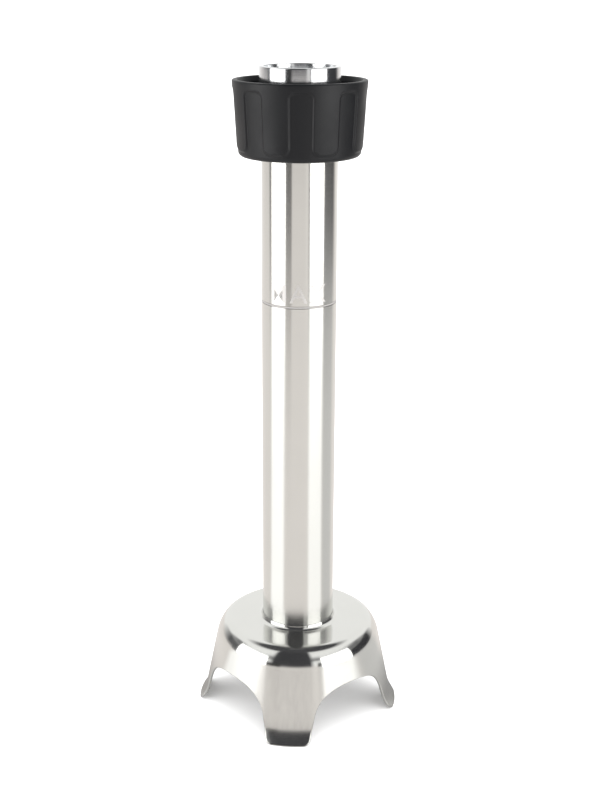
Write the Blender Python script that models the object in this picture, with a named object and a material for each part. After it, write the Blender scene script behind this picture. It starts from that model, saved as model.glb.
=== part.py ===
"""Detachable blending shaft of a commercial immersion blender.

Stands on its four guard feet. Origin at the middle of the footprint on the
surface it stands on, +Z up along the drive axis, metres.
"""
import bpy
import bmesh
import math
from mathutils import Vector

for ob in list(bpy.data.objects):
    bpy.data.objects.remove(ob, do_unlink=True)
for me in list(bpy.data.meshes):
    bpy.data.meshes.remove(me)
for ma in list(bpy.data.materials):
    bpy.data.materials.remove(ma)

MM = 0.001

# ---------------------------------------------------------------- dimensions
# all in millimetres
GAP = 0.3                   # assembly clearance between neighbouring pieces

TUBE_R = 19.05              # 1.5 inch outer tube
TUBE_WALL = 1.5
TUBE_Z0 = 50.0
TUBE_Z1 = 309.6

BELL_T = 1.5                # guard sheet
BELL_TOP_Z = 49.5           # virtual corner of crown and skirt
BELL_TOP_SLOPE = 0.0        # crown is flat
BELL_CORNER_R = 42.3
BELL_TIGHT, BELL_EASY, BELL_JOIN = 6.0, 17.0, 40.0   # shoulder: tight arc, easy arc, angle where they meet
BELL_CONE = math.radians(11.2)
BELL_HOLE_R = 12.5
FLARE_Z = 9.0               # feet curl outwards below this height
FLARE_OUT = 2.6
FOOT_COUNT = 4
FOOT_FIRST = 45.0           # azimuth of the first foot, degrees
EDGE_R = 49.0               # radius at which the arch outline is laid out
LEG_HALF_BASE = 10.66       # half width of a foot at the floor
LEG_LEAN = 0.24             # extra half width per mm of height
LEG_CORNER = 3.8            # rounded toe corner
LEG_TOP = 13.5              # straight leg edge ends here
ARCH_TOP = 28.5             # crown of the arch between two feet

COLLAR_Z0 = 299.6
COLLAR_Z1 = 336.4
COLLAR_R0 = 31.1
COLLAR_R1 = 33.2
COLLAR_BORE = 22.15
COLLAR_CORE_R = 29.6
CHANNELS = 8
CHANNEL_HALF = 10.5         # degrees
CHANNEL_DEPTH = 0.9
CHANNEL_TOP = 332.5
CHANNEL_PHASE = 6.6

SPIGOT_R = 19.95
SPIGOT_IN = 17.6
SPIGOT_TOP = 342.7
CUP_FLOOR = 323.0
SLEEVE_R = 21.8
FLANGE_R = 25.5

SHAFT_R = 4.0
BEARING_Z = 311.5
BEARING_W = 7.0
BALLS = 7
BALL_R = 1.985
BALL_PITCH_R = 7.55

BLADE_Z = 14.0
BLADE_R = 30.0

BIG = 36                    # facets round large pieces
SMALL = 20                  # facets round small pieces


# ------------------------------------------------------------------ helpers
def material(name, color, metallic, rough, alpha=1.0):
    m = bpy.data.materials.new(name)
    m.use_nodes = True
    b = m.node_tree.nodes["Principled BSDF"]
    b.inputs["Base Color"].default_value = (*color, 1.0)
    b.inputs["Metallic"].default_value = metallic
    b.inputs["Roughness"].default_value = rough
    m.diffuse_color = (*color, 1.0)
    return m


STEEL = ((0.62, 0.61, 0.59), 1.0, 0.22)
ALUMINIUM = ((0.75, 0.75, 0.76), 1.0, 0.25)
SPRING = ((0.42, 0.42, 0.44), 1.0, 0.3)
BLACK = ((0.035, 0.036, 0.04), 0.0, 0.5)
DARK = ((0.02, 0.02, 0.022), 0.0, 0.6)
RUBBER = ((0.012, 0.012, 0.013), 0.0, 0.75)
ACETAL = ((0.78, 0.78, 0.75), 0.0, 0.45)
BRONZE = ((0.55, 0.36, 0.16), 1.0, 0.35)


def finish(name, bm, look):
    bmesh.ops.recalc_face_normals(bm, faces=bm.faces)
    bmesh.ops.triangulate(bm, faces=[f for f in bm.faces if len(f.verts) > 4])
    me = bpy.data.meshes.new(name)
    bm.to_mesh(me)
    bm.free()
    for p in me.polygons:
        p.use_smooth = True
    me.set_sharp_from_angle(angle=math.radians(32))
    ob = bpy.data.objects.new(name, me)
    bpy.context.scene.collection.objects.link(ob)
    me.materials.append(material(name + "_mat", *look))
    return ob


def ring_point(r, z, deg):
    a = math.radians(deg)
    return Vector((r * math.cos(a), r * math.sin(a), z)) * MM


def loop_grid(name, rows, look, closed=True):
    """Rows of equal length round the axis, joined row to row into one skin.

    closed joins the last row to the first (a ring with a hole); otherwise
    the first and last rows are capped."""
    bm = bmesh.new()
    vs = [[bm.verts.new(p) for p in row] for row in rows]
    n = len(rows[0])
    pairs = list(zip(vs, vs[1:]))
    if closed:
        pairs.append((vs[-1], vs[0]))
    for a, b in pairs:
        for i in range(n):
            j = (i + 1) % n
            bm.faces.new((a[i], a[j], b[j], b[i]))
    if not closed:
        for row in (vs[0], vs[-1]):
            c = bm.verts.new(sum((v.co for v in row), Vector()) / n)
            for i in range(n):
                bm.faces.new((row[i], row[(i + 1) % n], c))
    return finish(name, bm, look)


def ring(name, profile, look, n=SMALL, phase=0.0):
    """Revolve a closed outline that stays clear of the axis."""
    rows = [[ring_point(r, z, phase + 360.0 * i / n) for i in range(n)] for r, z in profile]
    return loop_grid(name, rows, look, True)


def solid(name, profile, look, n=SMALL, phase=0.0):
    """Revolve an open outline whose two ends are capped on the axis."""
    rows = [[ring_point(r, z, phase + 360.0 * i / n) for i in range(n)] for r, z in profile]
    return loop_grid(name, rows, look, False)


def torus(name, big_r, small_r, z, look, n=SMALL, m=6):
    prof = [(big_r + small_r * math.cos(2 * math.pi * k / m),
             z + small_r * math.sin(2 * math.pi * k / m)) for k in range(m)]
    return ring(name, prof, look, n)


def c_ring(name, r_in, r_out, z0, z1, look, open_deg=30.0, n=20, at=0.0):
    """Flat spring ring with a gap."""
    bm = bmesh.new()
    cols = []
    for i in range(n + 1):
        a = at + open_deg / 2 + (360.0 - open_deg) * i / n
        cols.append([bm.verts.new(ring_point(r, z, a))
                     for r, z in ((r_in, z0), (r_out, z0), (r_out, z1), (r_in, z1))])
    for a, b in zip(cols, cols[1:]):
        for k in range(4):
            bm.faces.new((a[k], a[(k + 1) % 4], b[(k + 1) % 4], b[k]))
    bm.faces.new(cols[0])
    bm.faces.new(cols[-1])
    return finish(name, bm, look)


def box_profile(r0, z0, r1, z1, ch=0.0):
    if ch <= 0:
        return [(r0, z0), (r1, z0), (r1, z1), (r0, z1)]
    return [(r0, z0), (r1 - ch, z0), (r1, z0 + ch), (r1, z1 - ch), (r1 - ch, z1), (r0, z1)]


# --------------------------------------------------------------- guard bell
def unit(deg):
    return Vector((math.cos(math.radians(deg)), math.sin(math.radians(deg))))


def bell_shoulder(tight_steps=3, easy_steps=2):
    """Points round the shoulder from crown to skirt, each with the angle of its outward normal."""
    top, low = 90.0 - math.degrees(math.atan(BELL_TOP_SLOPE)), math.degrees(BELL_CONE)
    corner = Vector((BELL_CORNER_R, BELL_TOP_Z))
    down = Vector((math.tan(BELL_CONE), -1.0)).normalized()
    up = unit(top)
    reach = (BELL_TIGHT + (BELL_EASY - BELL_TIGHT) * unit(BELL_JOIN).dot(up) - BELL_EASY * unit(low).dot(up)) / -down.dot(up)
    c2 = corner + down * reach - unit(low) * BELL_EASY
    c1 = c2 + unit(BELL_JOIN) * (BELL_EASY - BELL_TIGHT)
    pts = []
    for i in range(tight_steps + 1):
        e = top + (BELL_JOIN - top) * i / tight_steps
        pts.append((c1 + unit(e) * BELL_TIGHT, e))
    for i in range(1, easy_steps + 1):
        e = BELL_JOIN + (low - BELL_JOIN) * i / easy_steps
        pts.append((c2 + unit(e) * BELL_EASY, e))
    return pts


SHOULDER = bell_shoulder()
SH_A, SH_B = SHOULDER[0][0], SHOULDER[-1][0]


def crown_z(r):
    return BELL_TOP_Z + (BELL_CORNER_R - r) * BELL_TOP_SLOPE


def skirt_r(z):
    r = SH_B.x + (SH_B.y - z) * math.tan(BELL_CONE)
    if z < FLARE_Z:
        r += FLARE_OUT * ((FLARE_Z - z) / FLARE_Z) ** 2
    return r


def skirt_slope(z):
    s = math.tan(BELL_CONE)
    if z < FLARE_Z:
        s += 2 * FLARE_OUT * (FLARE_Z - z) / FLARE_Z ** 2
    return s


def arch_outline(steps_toe=1, steps_corner=3, steps_leg=1, steps_arch=4):
    """Lower edge of the skirt from a foot's middle to the arch's middle.

    Returns (degrees from the foot's middle, height) pairs."""
    pts = []
    toe = LEG_HALF_BASE
    lean = Vector((LEG_LEAN, 1.0)).normalized()
    turn = math.acos(-lean.x) / 2
    cut = LEG_CORNER / math.tan(turn)
    flat_end = toe - cut
    centre = Vector((flat_end, LEG_CORNER))
    for i in range(steps_toe):
        pts.append((flat_end * i / steps_toe, 0.0))
    sweep = math.pi - 2 * turn
    for i in range(steps_corner + 1):
        a = -math.pi / 2 + sweep * i / steps_corner
        pts.append((centre.x + LEG_CORNER * math.cos(a), centre.y + LEG_CORNER * math.sin(a)))
    x0, z0 = pts[-1]
    p0 = Vector((toe + LEG_LEAN * LEG_TOP, LEG_TOP))
    for i in range(1, steps_leg + 1):
        t = i / steps_leg
        pts.append((x0 + (p0.x - x0) * t, z0 + (p0.y - z0) * t))
    end = EDGE_R * math.pi / FOOT_COUNT
    p1 = Vector((toe + LEG_LEAN * ARCH_TOP, ARCH_TOP))
    p2 = Vector((end, ARCH_TOP))
    for i in range(1, steps_arch + 1):
        t = i / steps_arch
        p = p0 * (1 - t) ** 2 + p1 * 2 * t * (1 - t) + p2 * t * t
        pts.append((p.x, p.y))
    return [(math.degrees(x / EDGE_R), z) for x, z in pts]


def bell_columns():
    half = arch_outline()
    length = [0.0]
    for (a0, z0), (a1, z1) in zip(half, half[1:]):
        length.append(length[-1] + math.hypot(math.radians(a1 - a0) * EDGE_R, z1 - z0))
    span = 180.0 / FOOT_COUNT
    tops = [span * s / length[-1] for s in length]
    cols = []
    for k in range(FOOT_COUNT):
        mid = FOOT_FIRST + 360.0 * k / FOOT_COUNT
        right = [(mid - a, z, mid - t) for (a, z), t in zip(half, tops)]
        left = [(mid + a, z, mid + t) for (a, z), t in zip(half, tops)]
        cols += list(reversed(right))[1:] + left[1:]
        # the arch middle is shared by neighbours, the foot middle is in "right"
    return cols


def build_bell():
    cols = bell_columns()
    top_z = SH_B.y
    outer, inner = [], []

    def full(r, z):
        return [ring_point(r, z, t) for _, _, t in cols]

    seat = crown_z(TUBE_R)
    for r, z in ((BELL_HOLE_R, crown_z(BELL_HOLE_R)), (TUBE_R + GAP, seat),
                 (TUBE_R + GAP + 0.02, seat + 1.9), (TUBE_R + 1.1, seat + 1.2),
                 (TUBE_R + 2.7, crown_z(TUBE_R + 2.7)), (SH_A.x, SH_A.y)):
        outer.append(full(r, z))
    for q, _ in SHOULDER[1:]:
        outer.append(full(q.x, q.y))
    for f in (0.45, 0.72, 0.88, 1.0):
        row = []
        for deg, z, top in cols:
            zz = top_z + (z - top_z) * f
            row.append(ring_point(skirt_r(zz), zz, top + (deg - top) * f))
        outer.append(row)
    for f in (1.0, 0.84, 0.5):
        row = []
        for deg, z, top in cols:
            zz = top_z + (z - top_z) * f
            rr = skirt_r(zz) - BELL_T * math.hypot(1.0, skirt_slope(zz))
            row.append(ring_point(rr, zz, top + (deg - top) * f))
        inner.append(row)
    for p, e in reversed(SHOULDER):
        q = p - unit(e) * BELL_T
        inner.append(full(q.x, q.y))
    inner.append(full(BELL_HOLE_R, crown_z(BELL_HOLE_R) - BELL_T))
    return loop_grid("guard_bell", outer + inner, STEEL, True)


build_bell()

# --------------------------------------------------------------- outer tube
ring("outer_tube", [(TUBE_R - TUBE_WALL, TUBE_Z0), (TUBE_R, TUBE_Z0),
                    (TUBE_R, TUBE_Z1), (TUBE_R - TUBE_WALL, TUBE_Z1)],
     STEEL, BIG)

# ---------------------------------------------------------- coupling spigot
SEAT_R = 11.3
ring("coupling_spigot", [
    (9.8, 310.0), (TUBE_R + GAP, 310.0), (TUBE_R + GAP, 300.9), (SLEEVE_R, 300.9),
    (SLEEVE_R, 311.0), (FLANGE_R - 0.5, 311.0), (FLANGE_R, 311.5), (FLANGE_R, 314.0),
    (FLANGE_R - 0.5, 314.5), (SPIGOT_R, 314.5), (SPIGOT_R, SPIGOT_TOP - 0.7),
    (SPIGOT_R - 0.7, SPIGOT_TOP), (SPIGOT_IN + 0.3, SPIGOT_TOP), (SPIGOT_IN, SPIGOT_TOP - 0.3),
    (SPIGOT_IN, CUP_FLOOR), (SEAT_R, CUP_FLOOR), (SEAT_R, 320.6), (12.3, 320.6), (12.3, 319.1),
    (SEAT_R, 319.1), (SEAT_R, 311.2), (9.8, 311.2)], ALUMINIUM, BIG)

# ------------------------------------------------------------ locking collar
def collar_r(z):
    return COLLAR_R0 + (COLLAR_R1 - COLLAR_R0) * (z - COLLAR_Z0) / (COLLAR_Z1 - COLLAR_Z0)


def build_collar():
    pitch = 360.0 / CHANNELS
    marks = (-CHANNEL_HALF, 0.0, CHANNEL_HALF, CHANNEL_HALF + 2.0, pitch / 2, pitch - CHANNEL_HALF - 2.0)
    dips = (1.0, 1.0, 1.0, 0.0, 0.0, 0.0)
    angles, depth = [], []
    for k in range(CHANNELS):
        for m, d in zip(marks, dips):
            angles.append(CHANNEL_PHASE + pitch * k + m)
            depth.append(d)

    def row(z, r=None, dip=0.0):
        out = []
        for a, d in zip(angles, depth):
            rr = (collar_r(z) if r is None else r) - CHANNEL_DEPTH * dip * d
            out.append(ring_point(rr, z, a))
        return out

    lip = COLLAR_Z0 + 4.2
    rows = [
        row(COLLAR_Z0, 27.0), row(COLLAR_Z0, 29.4), row(COLLAR_Z0 + 0.9, 30.3),
        row(COLLAR_Z0 + 2.2, None, 0.9), row(318.0, None, 1.0), row(CHANNEL_TOP - 2.0, None, 1.0),
        row(CHANNEL_TOP, None, 0.0), row(COLLAR_Z1 - 0.6), row(COLLAR_Z1, COLLAR_R1 - 0.6),
        row(COLLAR_Z1, COLLAR_R1 - 2.0), row(COLLAR_Z1 - 0.8, COLLAR_CORE_R + 0.2),
        row(309.0, COLLAR_CORE_R), row(309.0, COLLAR_BORE), row(lip, COLLAR_BORE), row(lip, 27.0),
    ]
    return loop_grid("locking_collar", rows, BLACK, True)


build_collar()

# threaded metal insert moulded into the collar, bored for the motor unit
insert = []
turns, z0, z1 = 3, 310.0, 333.0
insert.append((29.3, z0))
insert.append((29.3, z1))
insert.append((27.2, z1))
for i in range(turns):
    zb = z1 - 1.2 - (z1 - z0 - 2.4) * i / turns
    zn = z1 - 1.2 - (z1 - z0 - 2.4) * (i + 1) / turns
    insert.append((26.3, zb))
    insert.append((27.2, (zb + zn) / 2))
insert.append((26.3, z0 + 1.2))
insert.append((26.9, z0))
ring("collar_thread_insert", insert, DARK, BIG)

c_ring("collar_snap_ring", SLEEVE_R + 0.1, 25.0, 301.9, 303.2, SPRING, 24.0, 32)
ring("collar_thrust_washer", box_profile(COLLAR_BORE, 309.4, 26.0, 310.6), ACETAL, 36)

# -------------------------------------------------------------- top bearing
bz0, bz1 = BEARING_Z, BEARING_Z + BEARING_W
bm_z = (bz0 + bz1) / 2
ring("bearing_outer_race", [(9.5, bz0), (10.6, bz0), (11.0, bz0 + 0.4), (11.0, bz1 - 0.4), (10.6, bz1),
                            (9.5, bz1), (9.5, bm_z + 1.9), (9.85, bm_z), (9.5, bm_z - 1.9)], SPRING, 24)
ring("bearing_inner_race", [(SHAFT_R + 0.1, bz0), (5.7, bz0), (5.7, bm_z - 1.9), (5.35, bm_z),
                            (5.7, bm_z + 1.9), (5.7, bz1), (SHAFT_R + 0.1, bz1)], SPRING)
ring("bearing_shield_lower", box_profile(6.1, bz0 + 0.1, 9.25, bz0 + 0.5), SPRING)
ring("bearing_shield_upper", box_profile(6.1, bz1 - 0.5, 9.25, bz1 - 0.1), SPRING)
c_ring("bearing_snap_ring", 10.2, 12.1, 319.4, 320.4, SPRING, 40.0, 20)


def build_cage():
    """Crown cage: a ring low down with fingers standing between the balls."""
    per = 6
    n = BALLS * per
    r_in, r_out = 6.95, 8.15
    low, floor, tip = bm_z - 2.75, bm_z - 2.3, bm_z + 1.2
    bot, top = [], []
    step = 360.0 / BALLS
    for i in range(n):
        k, j = divmod(i, per)
        a = step * (k + j / per)
        off = min(j, per - j) / per * step          # degrees from the ball
        arc = math.radians(off) * BALL_PITCH_R
        pocket = BALL_R + 0.45
        z = bm_z - math.sqrt(pocket ** 2 - arc ** 2) if arc < pocket else tip
        top.append((a, max(floor, z)))
    rows = [[ring_point(r_in, low, a) for a, _ in top], [ring_point(r_out, low, a) for a, _ in top],
            [ring_point(r_out, z, a) for a, z in top], [ring_point(r_in, z, a) for a, z in top]]
    return loop_grid("ball_cage", rows, BRONZE, True)


build_cage()
for k in range(BALLS):
    bm = bmesh.new()
    bmesh.ops.create_uvsphere(bm, u_segments=8, v_segments=6, radius=BALL_R * MM)
    a = 2 * math.pi * k / BALLS
    off = Vector((BALL_PITCH_R * math.cos(a), BALL_PITCH_R * math.sin(a), bm_z)) * MM
    bmesh.ops.translate(bm, verts=bm.verts, vec=off)
    finish("bearing_ball_%d" % (k + 1), bm, SPRING)

# --------------------------------------------------------------- mid support
def grooved(r, r_groove, r_in, z0, z1, grooves, half=1.25):
    pts = [(r_in, z0), (r - 0.5, z0), (r, z0 + 0.5)]
    for g in grooves:
        pts += [(r, g - half), (r_groove, g - half), (r_groove, g + half), (r, g + half)]
    pts += [(r, z1 - 0.5), (r - 0.5, z1), (r_in, z1)]
    return pts


ring("mid_support_bush", grooved(17.2, 15.1, SHAFT_R + GAP, 176.0, 192.0, (180.0, 188.0)), ACETAL, 24)
torus("mid_bush_o_ring_lower", 16.32, 1.0, 180.0, RUBBER, 24, 6)
torus("mid_bush_o_ring_upper", 16.32, 1.0, 188.0, RUBBER, 24, 6)

# ------------------------------------------------- lower hub and shaft seal
ring("lower_hub", [
    (8.3, 30.6), (10.4, 30.6), (12.1, 33.5), (12.1, 50.1), (17.2, 50.1),
    (17.2, 64.75), (15.1, 64.75), (15.1, 67.25), (17.2, 67.25), (17.2, 71.5), (16.2, 72.5),
    (7.3, 72.5), (7.3, 57.0), (5.2, 57.0), (5.2, 37.6), (8.3, 37.6)], STEEL, 24)
torus("hub_o_ring", 16.32, 1.0, 66.0, RUBBER, 24, 6)
ring("lower_bush", box_profile(SHAFT_R + GAP, 57.3, 7.0, 73.5, 0.4), BRONZE)

# hexagonal nut drawing the hub down onto the guard from beneath
def hex_nut(name, bore, flats, z0, z1, look, n=24, phase=0.0):
    def hexr(deg):
        a = (deg - phase) % 60.0 - 30.0
        return flats / 2 / math.cos(math.radians(a))
    ang = [phase + 360.0 * i / n for i in range(n)]
    rim = flats / 2 * 1.01
    rows = [[ring_point(bore, z0, a) for a in ang], [ring_point(rim, z0, a) for a in ang],
            [ring_point(hexr(a), z0 + 0.9, a) for a in ang], [ring_point(hexr(a), z1 - 0.9, a) for a in ang],
            [ring_point(rim, z1, a) for a in ang], [ring_point(bore, z1, a) for a in ang]]
    return loop_grid(name, rows, look, True)


hex_nut("hub_clamp_nut", 12.4, 30.0, 41.7, 47.6, STEEL, 24)

ring("lip_seal", [(SHAFT_R + GAP, 32.0), (8.0, 32.0), (8.0, 37.2), (7.4, 37.2), (7.4, 33.4), (5.9, 33.4),
                  (5.3, 35.0), (5.3, 36.4), (4.6, 36.4), (SHAFT_R + GAP, 35.2)], RUBBER)
torus("seal_garter_spring", 6.1, 0.42, 35.7, SPRING, 20, 5)
ring("seal_retainer", [(5.6, 29.0), (9.6, 29.0), (10.1, 29.5), (10.1, 30.3), (8.0, 30.3), (8.0, 31.6), (6.8, 31.6),
                       (6.8, 30.2), (5.6, 30.2)], STEEL)

# -------------------------------------------------------------- drive shaft
solid("drive_shaft", [(3.2, 7.2), (SHAFT_R - 0.2, 7.8), (SHAFT_R - 0.2, 17.0), (SHAFT_R, 17.2), (SHAFT_R, 180.0),
                      (SHAFT_R, 327.6), (SHAFT_R - 0.4, 328.0), (1.8, 328.0), (1.8, 318.0)], STEEL, SMALL)
c_ring("shaft_circlip_lower", SHAFT_R + 0.1, 5.6, 310.3, 311.1, SPRING, 50.0, 16)
c_ring("shaft_circlip_upper", SHAFT_R + 0.1, 5.6, 318.9, 319.7, SPRING, 50.0, 16)


def build_coupling():
    """Six-lobed drive dog on the head of the shaft."""
    n = 36

    def lobed(a, r_hi, r_lo):
        c = math.cos(math.radians(a) * 6)
        return r_lo + (r_hi - r_lo) * (0.5 + 0.5 * max(-1.0, min(1.0, 2.2 * c)))

    ang = [360.0 * i / n for i in range(n)]
    rows = [
        [ring_point(SHAFT_R + 0.1, 321.4, a) for a in ang],
        [ring_point(8.0, 321.4, a) for a in ang],
        [ring_point(8.8, 322.2, a) for a in ang],
        [ring_point(8.8, 327.6, a) for a in ang],
        [ring_point(lobed(a, 8.4, 6.6), 327.8, a) for a in ang],
        [ring_point(lobed(a, 8.4, 6.6), 336.2, a) for a in ang],
        [ring_point(lobed(a, 7.7, 6.1), 337.2, a) for a in ang],
        [ring_point(4.4, 337.2, a) for a in ang],
        [ring_point(4.4, 329.6, a) for a in ang],
        [ring_point(2.1, 329.6, a) for a in ang],
        [ring_point(2.1, 328.4, a) for a in ang],
        [ring_point(SHAFT_R + 0.1, 328.4, a) for a in ang],
    ]
    return loop_grid("drive_coupling", rows, SPRING, True)


build_coupling()
solid("coupling_screw", [(1.5, 318.6), (1.5, 329.9), (3.7, 329.9), (3.7, 332.2), (3.0, 333.0), (1.9, 333.0),
                         (1.9, 331.2)], SPRING, 12, 0.0)

# -------------------------------------------------------------------- blade
def build_blade():
    """Two ground wings on a bored disc: one wing turned up, the other down."""
    wing = ((5.0, -5.6), (11.0, -5.7), (20.0, -5.2), (27.0, -4.2), (BLADE_R - 0.4, -2.2), (BLADE_R, 0.4),
            (28.2, 3.4), (22.0, 4.9), (14.0, 5.9), (8.6, 6.4), (4.6, 6.1), (0.6, 7.5), (-2.2, 7.2))
    tilt = math.radians(FOOT_FIRST)
    pts = [(x, y, 1.0) for x, y in wing] + [(-x, -y, -1.0) for x, y in wing]

    def lift(x, y, side):
        out = max(0.0, (math.hypot(x, y) - 8.5) / (BLADE_R - 8.5))
        return side * 3.0 * out ** 1.5 + 0.12 * y * side * out

    def level(f, up):
        row = []
        for x, y, side in pts:
            r1 = math.hypot(x, y)
            r = SHAFT_R + 0.1 + (r1 - SHAFT_R - 0.1) * f
            px, py = x * r / r1, y * r / r1
            t = 1.5 if f < 0.9 else 0.5
            z = BLADE_Z + lift(px, py, side) + (t / 2 if up else -t / 2)
            a = math.atan2(py, px) + tilt
            row.append(Vector((r * math.cos(a), r * math.sin(a), z)) * MM)
        return row

    fr = (0.0, 0.42, 0.78, 1.0)
    rows = [level(f, True) for f in fr] + [level(f, False) for f in reversed(fr)]
    return loop_grid("blade", rows, STEEL, True)


build_blade()
ring("blade_spacer", box_profile(SHAFT_R + 0.1, 15.2, 6.4, 28.6, 0.5), STEEL)
ring("blade_washer", box_profile(SHAFT_R + 0.1, 11.9, 6.8, 12.9), STEEL)


def build_blade_nut():
    """Closed hexagonal nut on the shaft's lower end."""
    ang = [360.0 * i / 24 for i in range(24)]

    def hexr(a):
        return 5.5 / math.cos(math.radians(a % 60.0 - 30.0))

    rows = [[ring_point(4.2, 5.6, a) for a in ang], [ring_point(5.5, 6.2, a) for a in ang],
            [ring_point(hexr(a), 7.0, a) for a in ang], [ring_point(hexr(a), 11.5, a) for a in ang],
            [ring_point(SHAFT_R + 0.1, 11.5, a) for a in ang], [ring_point(SHAFT_R + 0.1, 6.8, a) for a in ang]]
    return loop_grid("blade_nut", rows, STEEL, False)


build_blade_nut()
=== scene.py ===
import math

import bpy
import bmesh
from mathutils import Matrix, Vector

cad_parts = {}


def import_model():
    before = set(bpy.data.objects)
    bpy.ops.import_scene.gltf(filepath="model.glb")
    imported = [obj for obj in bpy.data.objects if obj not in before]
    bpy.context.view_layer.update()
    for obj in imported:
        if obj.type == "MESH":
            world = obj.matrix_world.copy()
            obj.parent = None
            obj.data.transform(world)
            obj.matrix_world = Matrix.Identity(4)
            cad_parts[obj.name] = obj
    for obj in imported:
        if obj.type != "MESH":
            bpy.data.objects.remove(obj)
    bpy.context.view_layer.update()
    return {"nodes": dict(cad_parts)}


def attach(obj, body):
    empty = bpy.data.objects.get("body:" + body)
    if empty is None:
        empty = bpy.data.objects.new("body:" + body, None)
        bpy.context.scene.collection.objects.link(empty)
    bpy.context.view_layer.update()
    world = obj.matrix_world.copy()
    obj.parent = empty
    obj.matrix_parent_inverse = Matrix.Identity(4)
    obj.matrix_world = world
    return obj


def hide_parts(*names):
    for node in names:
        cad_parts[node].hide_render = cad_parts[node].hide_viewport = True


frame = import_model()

NODES = frame["nodes"]
MM = 0.001

# ------------------------------------------------------------------ dimensions (mm), as in the CAD
TUBE_R, TUBE_WALL = 19.05, 1.5
BELL_T = 1.5
BELL_TOP_Z, BELL_TOP_SLOPE, BELL_CORNER_R = 49.5, 0.0, 42.3
BELL_CONE = math.radians(11.2)
BELL_HOLE_R = 12.5
FLARE_Z, FLARE_OUT = 9.0, 2.6
FEET, FOOT_FIRST, EDGE_R = 4, 45.0, 49.0
LEG_BASE, LEG_LEAN, LEG_CORNER, LEG_TOP, ARCH_TOP = 10.66, 0.24, 3.8, 13.5, 28.5
COLLAR_Z0, COLLAR_Z1, COLLAR_R0, COLLAR_R1 = 299.6, 336.4, 31.1, 33.2
COLLAR_CORE_R, COLLAR_BORE = 29.6, 22.15
CHANNELS, CHANNEL_HALF, CHANNEL_DEPTH, CHANNEL_TOP, CHANNEL_PHASE = 8, 10.5, 0.9, 332.5, 6.6
LOBE_BOTTOM = 303.2
FILL_Z = 227.05
SHAFT_R = 4.0
BLADE_Z, BLADE_R = 14.0, 30.0

# direction from the object towards the camera, and the camera's right, on the ground
CAM_AZ = math.radians(-129.4)
TO_CAM = Vector((math.cos(CAM_AZ), math.sin(CAM_AZ), 0))
RIGHT = Vector((-TO_CAM.y, TO_CAM.x, 0))


def lerp(a, b, t):
    return a + (b - a) * t


def smooth(t):
    t = max(0.0, min(1.0, t))
    return t * t * (3 - 2 * t)


# ------------------------------------------------------------------ node helpers
class Nodes:
    """Small wrapper that makes node graphs readable."""

    def __init__(self, name):
        self.mat = bpy.data.materials.new(name)
        self.mat.use_nodes = True
        self.t = self.mat.node_tree
        self.b = self.t.nodes["Principled BSDF"]

    def new(self, kind, **props):
        n = self.t.nodes.new(kind)
        for k, v in props.items():
            setattr(n, k, v)
        return n

    def link(self, a, b):
        self.t.links.new(a, b)

    def coords(self, scale=(1, 1, 1), rot=(0, 0, 0)):
        tc = self.new("ShaderNodeTexCoord")
        mp = self.new("ShaderNodeMapping")
        mp.inputs["Scale"].default_value = scale
        mp.inputs["Rotation"].default_value = rot
        self.link(tc.outputs["Object"], mp.inputs["Vector"])
        return mp.outputs["Vector"]

    def noise(self, vec, scale, detail=3.0, rough=0.55, dist=0.0):
        n = self.new("ShaderNodeTexNoise")
        n.inputs["Scale"].default_value = scale
        n.inputs["Detail"].default_value = detail
        n.inputs["Roughness"].default_value = rough
        n.inputs["Distortion"].default_value = dist
        self.link(vec, n.inputs["Vector"])
        return n.outputs["Fac"]

    def ramp(self, fac, stops, interp="LINEAR"):
        r = self.new("ShaderNodeValToRGB")
        r.color_ramp.interpolation = interp
        e = r.color_ramp.elements
        while len(e) > 1:
            e.remove(e[-1])
        first = True
        for pos, col in stops:
            c = col if isinstance(col, tuple) else (col, col, col)
            if first:
                e[0].position = pos
                e[0].color = (*c, 1)
                first = False
            else:
                k = e.new(pos)
                k.color = (*c, 1)
        self.link(fac, r.inputs["Fac"])
        return r.outputs["Color"]

    def remap(self, v, a, b, c, d):
        m = self.new("ShaderNodeMapRange")
        for k, x in zip(("From Min", "From Max", "To Min", "To Max"), (a, b, c, d)):
            m.inputs[k].default_value = x
        self.link(v, m.inputs["Value"])
        return m.outputs["Result"]

    def mix(self, fac, a, b):
        m = self.new("ShaderNodeMix", data_type="RGBA")
        for sock, v in ((m.inputs[0], fac), (m.inputs[6], a), (m.inputs[7], b)):
            if hasattr(v, "node"):
                self.link(v, sock)
            elif isinstance(v, tuple):
                sock.default_value = (*v, 1)
            else:
                sock.default_value = v
        return m.outputs[2]

    def math(self, op, a, b=None):
        m = self.new("ShaderNodeMath", operation=op)
        for i, v in enumerate((a, b)):
            if v is None:
                continue
            if hasattr(v, "node"):
                self.link(v, m.inputs[i])
            else:
                m.inputs[i].default_value = v
        return m.outputs[0]

    def bump(self, height, strength, distance, normal=None):
        b = self.new("ShaderNodeBump")
        b.inputs["Strength"].default_value = strength
        b.inputs["Distance"].default_value = distance
        self.link(height, b.inputs["Height"])
        if normal is not None:
            self.link(normal, b.inputs["Normal"])
        return b.outputs["Normal"]

    def set(self, **kw):
        for k, v in kw.items():
            sock = self.b.inputs[k.replace("_", " ")]
            if hasattr(v, "node"):
                self.link(v, sock)
            elif isinstance(v, tuple) and len(v) == 3:
                sock.default_value = (*v, 1)
            else:
                sock.default_value = v


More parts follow.
